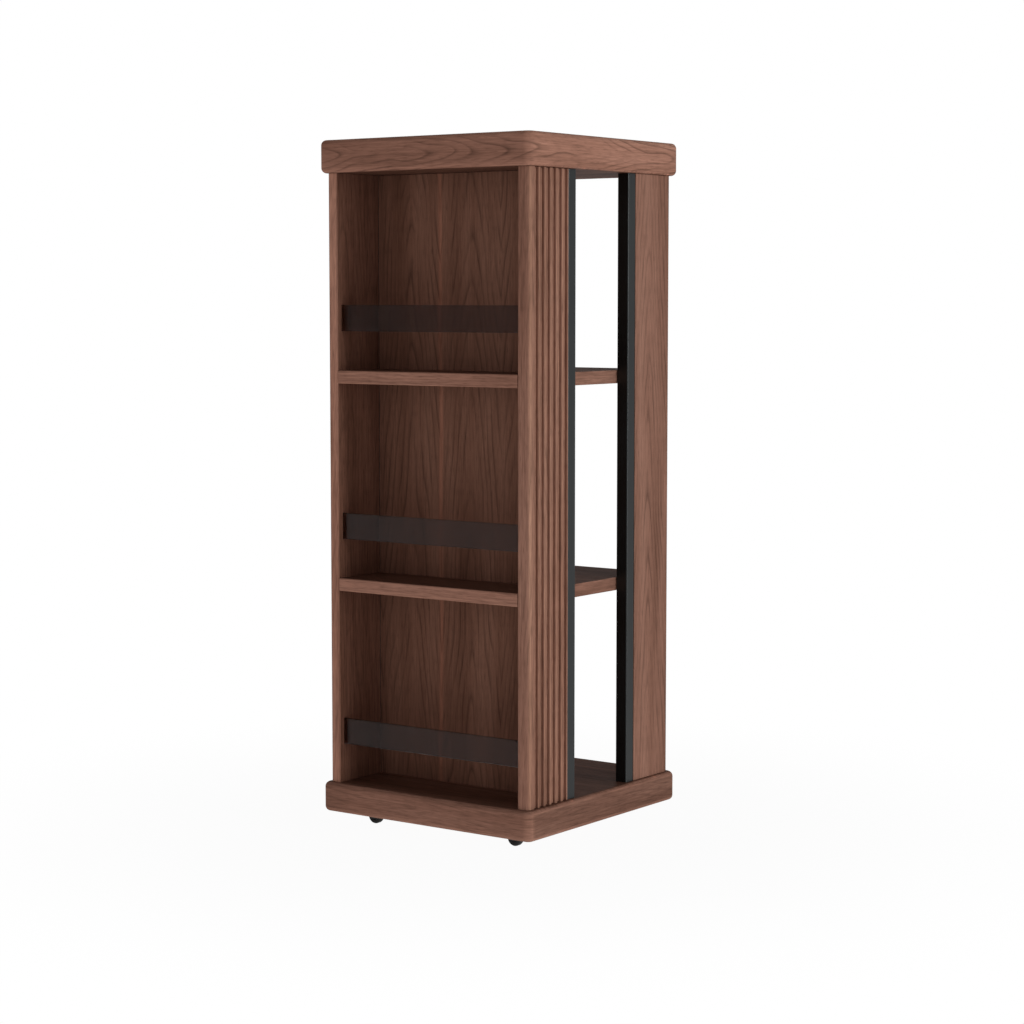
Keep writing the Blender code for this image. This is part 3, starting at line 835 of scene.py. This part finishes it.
def upright_at(x, y):
    """A test for the upright edge at this place in plan."""
    def wanted(edge):
        return upright(edge) and (edge.verts[0].co.xy - Vector((x, y))).length < TINY
    return wanted


def moved_copy(piece, name, shift):
    """A copy with its own mesh, moved by a shift that becomes part of the mesh."""
    take(piece)
    bpy.ops.object.duplicate()
    copy = bpy.context.object
    copy.location = shift
    return settle(copy, name)


def one_for_each(first, names, nodes):
    """The first piece and its copies, each at the place of its own node."""
    start = Vector(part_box(nodes[0])[0])
    shifts = [Vector(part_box(node)[0]) - start for node in nodes]
    return [first] + [moved_copy(first, name, shift) for name, shift in zip(names[1:], shifts[1:])]


print("helpers: across_at, upright_at, moved_copy, one_for_each")

# %% Model the rear panels and the divider
ARRIS = (0.0004, 2)

low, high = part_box("rear_side_panel_right")
rear_right = block("rear_panel_right", low, high)
round_edges(rear_right, NOSE_ROUND, upright_at(high[0], high[1]))
round_edges(rear_right, INNER_ROUND, upright_at(low[0], high[1]))
rear_left = mirrored_copy(rear_right, "rear_panel_left")
# Painted shade darkens each rear panel's inner face.
lay_grain(rear_left, UPRIGHT_GRAIN, REAR_FACE, (RIGHTWARD, INSIDE_SHADE), leaf=5)
lay_grain(rear_right, UPRIGHT_GRAIN, REAR_FACE, (LEFTWARD, INSIDE_SHADE), leaf=40)
fit(rear_left, flat_walnut, "walnut", "rear_side_panel_left")
fit(rear_right, flat_walnut, "walnut", "rear_side_panel_right")

divider = block("divider_board", *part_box("divider_panel"))
round_edges(divider, ARRIS, everything)
# The divider stands inside the case, so all of it gets the painted shade.
lay_grain(divider, UPRIGHT_GRAIN, INSIDE_SHADE, leaf=17)
fit(divider, flat_walnut, "walnut", "divider_panel")

# %% Model the shelves
BOARD_EDGE = (0.002, 5)
# Painted shade darkens the shelves' tops and undersides.
SHELF_TONES = ((UP, INSIDE_FLOOR_SHADE), (DOWN, INSIDE_SHADE), (LEFTWARD, REAR_FACE), (RIGHTWARD, REAR_FACE))

for end, leaves in (("front", (8, 10)), ("rear", (9, 11))):
    nodes = [f"{end}_shelf_{number}" for number in (1, 2)]
    names = [f"{end}_shelf_board_{number}" for number in (1, 2)]
    low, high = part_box(nodes[0])
    first_shelf = block(names[0], low, high)
    round_edges(first_shelf, BOARD_EDGE, across_at(low[1] if end == "front" else high[1]))
    shelves = one_for_each(first_shelf, names, nodes)
    for shelf, node, leaf in zip(shelves, nodes, leaves):
        lay_grain(shelf, LEVEL_GRAIN, EDGE, *SHELF_TONES, leaf=leaf, heart=0.03)
        fit(shelf, straight_walnut, "walnut", node)

# %% [markdown]
# ## Posts
# Four square steel tubes frame the side windows. Their long corners are rounded as a rolled tube's are,
# which gives each post a thin bright line of reflected light. A square curve with depth would make a tube
# too. The slabs hide the ends here, so a closed bar with four rounded corners shows the same and is simpler.

# %% Model the posts
TUBE_CORNER = (0.002, 6)
POSTS = [f"post_{end}_{side}" for end in ("front", "rear") for side in ("left", "right")]

names = [f"black_{node}" for node in POSTS]
first_post = block(names[0], *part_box(POSTS[0]))
round_edges(first_post, TUBE_CORNER, upright)
for post, node in zip(one_for_each(first_post, names, POSTS), POSTS):
    fit(post, post_black, "post_black", node)

# %% [markdown]
# ## Guard strips
# The strips are sawn from sheet and their edges are scraped and polished, so every edge has a small round.
# A flat plane would be see-through too, but it would have no edges to catch the light and nothing to put
# into the housings. The three are alike, so one is modelled and copied.

# %% Model the guard strips
STRIP_EDGE = (0.0005, 3)
EDGE_TONE = 0.3


def darken_edges(sheet):
    """Store a tone for each face of an upright sheet: full on its two wide faces, dark on its edges."""
    tone = sheet.data.attributes.new("tone", "FLOAT_COLOR", "CORNER")
    for face in sheet.data.polygons:
        level = 1.0 if abs(face.normal.y) > 1 - TINY else EDGE_TONE
        for corner in face.loop_indices:
            tone.data[corner].color = grey(level)


names = [f"acrylic_guard_{number}" for number in (1, 2, 3)]
first_strip = block(names[0], *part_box(STRIPS[0]))
round_edges(first_strip, STRIP_EDGE, everything)
darken_edges(first_strip)
for strip, node in zip(one_for_each(first_strip, names, STRIPS), STRIPS):
    fit(strip, acrylic, "smoked_acrylic", node)

# %% [markdown]
# ## Caster wheels
# A wheel is a turned piece, so it is made as on a lathe: draw one half of its section and spin it round the
# axle. The tyre's section is a bar with a rounded tread. The core's is a thin web with a boss and a rim
# that stand out on both sides. A cylinder primitive would have to be cut back in several places instead.
# All four wheels are alike, so one is turned and the others are copies of it.

# %% Define the lathe
TURNS = 72
SEAM = TINY / 10


def section(name, middle, inside, outside, width):
    """A flat strip above a wheel's middle, from one radius to another, as wide as the wheel."""
    bpy.ops.object.select_all(action="DESELECT")
    place = middle + Vector((0, 0, (inside + outside) / 2))
    bpy.ops.mesh.primitive_plane_add(size=1, location=place, rotation=(0, pi / 2, 0))
    piece = bpy.context.object
    piece.scale = (outside - inside, width, 1)
    return settle(piece, name)


def spin(piece, middle):
    """Turn the outline of a section once round the axle."""
    pick(piece, "FACE", everything)
    bpy.ops.mesh.delete(type="ONLY_FACE")
    bpy.ops.mesh.select_all(action="SELECT")
    bpy.ops.mesh.spin(steps=TURNS, angle=2 * pi, center=middle, axis=(0, 1, 0))
    bpy.ops.mesh.select_all(action="SELECT")
    bpy.ops.mesh.remove_doubles(threshold=SEAM)
    bpy.ops.mesh.normals_make_consistent(inside=False)
    close_edit()


print(f"lathe: {TURNS} steps a turn")

# %% Define the tyre and the core
TREAD_ROUND = (0.003, 8)
TYRE_BORE = 0.0083
RIM = 0.0080
RIM_INSIDE = 0.0066
BOSS = 0.00425
AXLE_BORE = 0.0023
WEB = 0.004
MOULDED_EDGE = (0.0004, 3)


def turned_tyre(name, middle, radius, width):
    """A bar with a rounded tread, spun round the axle."""
    tyre = section(name, middle, TYRE_BORE, radius, width)
    round_corners(tyre, TREAD_ROUND, lambda corner: abs(corner.co.z - middle.z - radius) < TINY)
    spin(tyre, middle)
    return tyre


def turned_core(name, middle, width):
    """A thin web with a boss and a rim on both sides, spun round the axle."""
    core = section(name, middle, AXLE_BORE, RIM, WEB)
    for radius in (BOSS, RIM_INSIDE):
        cut_across(core, middle + Vector((0, 0, radius)), (0, 0, 1))
    for way in (-1, 1):
        def stands_out(edge):
            at = (edge.verts[0].co + edge.verts[1].co) / 2 - middle
            return abs(at.y - way * WEB / 2) < TINY and not BOSS < at.z < RIM_INSIDE

        pick(core, "EDGE", stands_out)
        bpy.ops.mesh.extrude_region_move(TRANSFORM_OT_translate={"value": (0, way * (width - WEB) / 2, 0)})
        close_edit()
    merge_flat_faces(core)
    round_corners(core, MOULDED_EDGE, everything)
    spin(core, middle)
    return core


print("helpers: turned_tyre, turned_core")

# %% Turn the wheels
CASTERS = [f"caster_{end}_{side}" for end in ("front", "rear") for side in ("left", "right")]

tyre_nodes = [f"{caster}_tyre" for caster in CASTERS]
tyre_names = [f"{caster}_turned_tyre" for caster in CASTERS]
core_names = [f"{caster}_turned_core" for caster in CASTERS]
low, high = (Vector(corner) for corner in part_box(tyre_nodes[0]))
middle = (low + high) / 2
first_tyre = turned_tyre(tyre_names[0], middle, middle.z - low.z, high.y - low.y)
first_core = turned_core(core_names[0], middle, high.y - low.y)
tyres = one_for_each(first_tyre, tyre_names, tyre_nodes)
cores = one_for_each(first_core, core_names, tyre_nodes)
for caster, tyre, core in zip(CASTERS, tyres, cores):
    fit(tyre, rubber, "rubber", f"{caster}_tyre", body=f"{caster}_wheel")
    fit(core, nylon, "nylon", f"{caster}_hub", body=f"{caster}_wheel")

# %% [markdown]
# ## Caster screws
# Four pan-head screws hold each caster plate. A screw head is a short cylinder with its rim rounded over
# and a cross sunk into it. It could be turned on the lathe as a wheel is, but a bevel on one rim is quicker.
# The cross is two thin blocks taken out with a Boolean. One head is modelled, copied to the other corners of
# the plate and joined with them to a set, and the set is copied to the other plates.

# %% Define the screw head
HEAD_SIDES = 32
HEAD_RADIUS = 0.0031
HEAD_HEIGHT = 0.0020
HEAD_ROUND = (0.0013, 6)
CROSS_LENGTH = 0.0036
CROSS_WIDTH = 0.0007
CROSS_DEPTH = 0.0011


def screw_head(name, place):
    """A pan head that hangs below the given place, with a cross in its face."""
    bpy.ops.object.select_all(action="DESELECT")
    middle = place - Vector((0, 0, HEAD_HEIGHT / 2))
    bpy.ops.mesh.primitive_cylinder_add(
        vertices=HEAD_SIDES, radius=HEAD_RADIUS, depth=HEAD_HEIGHT, location=middle)
    head = settle(bpy.context.object, name)
    face = place.z - HEAD_HEIGHT
    round_edges(head, HEAD_ROUND, level_at(face))
    centre = Vector((place.x, place.y, face))
    for length, width in ((CROSS_LENGTH, CROSS_WIDTH), (CROSS_WIDTH, CROSS_LENGTH)):
        reach = Vector((length / 2, width / 2, CROSS_DEPTH))
        cut(head, block("cross_cutter", centre - reach, centre + reach))
    return head


print("helper: screw_head")

# %% Set the screws
SCREW_SPACING = (0.029, 0.023)

plate_nodes = [f"{caster}_plate" for caster in CASTERS]
set_names = [f"{caster}_screws" for caster in CASTERS]
low, high = (Vector(corner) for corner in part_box(plate_nodes[0]))
spot = Vector(((low.x + high.x - SCREW_SPACING[0]) / 2, (low.y + high.y - SCREW_SPACING[1]) / 2, low.z))
first_head = screw_head(set_names[0], spot)
steps = [(SCREW_SPACING[0], 0, 0), (0, SCREW_SPACING[1], 0), (*SCREW_SPACING, 0)]
other_heads = [moved_copy(first_head, "screw_head", step) for step in steps]
take(first_head)
for head in other_heads:
    head.select_set(True)
bpy.ops.object.join()
for screws in one_for_each(first_head, set_names, plate_nodes):
    fit(screws, zinc, "zinc")

# %% [markdown]
# ## Caster plates and forks
# Each caster also has a plate, a race and a king pin on the case, and a bent steel fork that swivels. These
# small pressed parts keep the frame's own shape and only take their finish here.

# %% Finish the caster parts
CASTER_FINISHES = dict.fromkeys(("plate", "race", "fork", "axle"), caster_black)
CASTER_FINISHES["kingpin"] = zinc

for caster in CASTERS:
    for part, material in CASTER_FINISHES.items():
        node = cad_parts[f"{caster}_{part}"]
        node.data.materials.clear()
        node.data.materials.append(material)
print(f"casters: {len(CASTERS)} of {len(CASTER_FINISHES)} parts each")

# %% [markdown]
# ## Finish

# %% Finish
bpy.ops.object.select_all(action="DESELECT")
